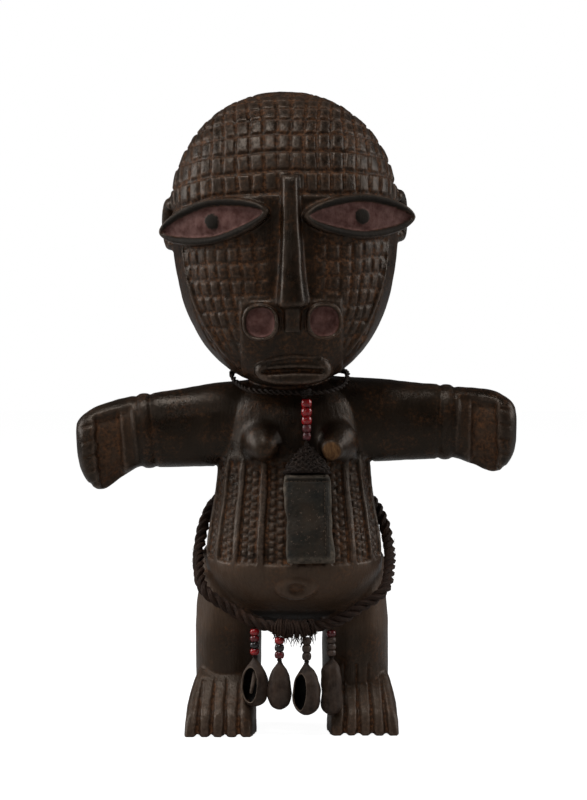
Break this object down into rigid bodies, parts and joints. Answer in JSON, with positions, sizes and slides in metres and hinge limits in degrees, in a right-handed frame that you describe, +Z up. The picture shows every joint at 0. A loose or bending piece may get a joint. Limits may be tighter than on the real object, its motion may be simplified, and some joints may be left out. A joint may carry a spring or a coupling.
{
  "type": "carved female figure",
  "caption": "carved wooden female doll with outstretched arms, large gridded head, rope belt with seed shell rattles, and a cord necklace with a leather amulet",
  "frame": {"origin": "on the floor below the middle of the figure's box", "axes": "+X to the viewer's right as the doll faces the viewer, -Y the way the doll faces, +Z up"},
  "size_m": [0.196, 0.0994, 0.2818],
  "materials": {
    "dark_wood": "dark, handled to a soft sheen, with red-brown dust in the carving",
    "plant_fibre": "dark twisted plant fibre, dry and frayed",
    "resined_cord": "dark knotted cord full of resin",
    "worn_leather": "dark leather, worn grey on its edges",
    "seed_shell": "dry brown seed shell",
    "red_glass": "bright red, glossy and opaque",
    "dark_red_glass": "dark red, glossy and opaque",
    "dark_glass": "nearly black, glossy and opaque",
    "dull_pink_glass": "dull pink, worn",
    "brown_seed": "brown seed beads, satin"
  },
  "bodies": {
    "root": {"amulet_cap": "resined_cord", "amulet_packet": "worn_leather", "amulet_string": "plant_fibre", "belt_rope": "plant_fibre", "figure": "dark_wood", "hanger_1_bead_1": "red_glass", "hanger_1_bead_2": "dark_red_glass", "hanger_1_bead_3": "dark_glass", "hanger_1_bead_4": "red_glass", "hanger_1_shell": "seed_shell", "hanger_1_string": "plant_fibre", "hanger_2_bead_1": "red_glass", "hanger_2_bead_2": "dark_glass", "hanger_2_bead_3": "dark_red_glass", "hanger_2_shell": "seed_shell", "hanger_2_string": "plant_fibre", "hanger_3_bead_1": "brown_seed", "hanger_3_bead_2": "brown_seed", "hanger_3_bead_3": "brown_seed", "hanger_3_shell": "seed_shell", "hanger_3_string": "plant_fibre", "hanger_4_bead_1": "dark_red_glass", "hanger_4_bead_2": "brown_seed", "hanger_4_bead_3": "brown_seed", "hanger_4_bead_4": "brown_seed", "hanger_4_shell": "seed_shell", "hanger_4_string": "plant_fibre", "neck_bead_1": "red_glass", "neck_bead_2": "red_glass", "neck_bead_3": "red_glass", "neck_bead_4": "dull_pink_glass", "neck_bead_5": "dull_pink_glass", "neck_cord": "plant_fibre"}
  },
  "joints": []
}
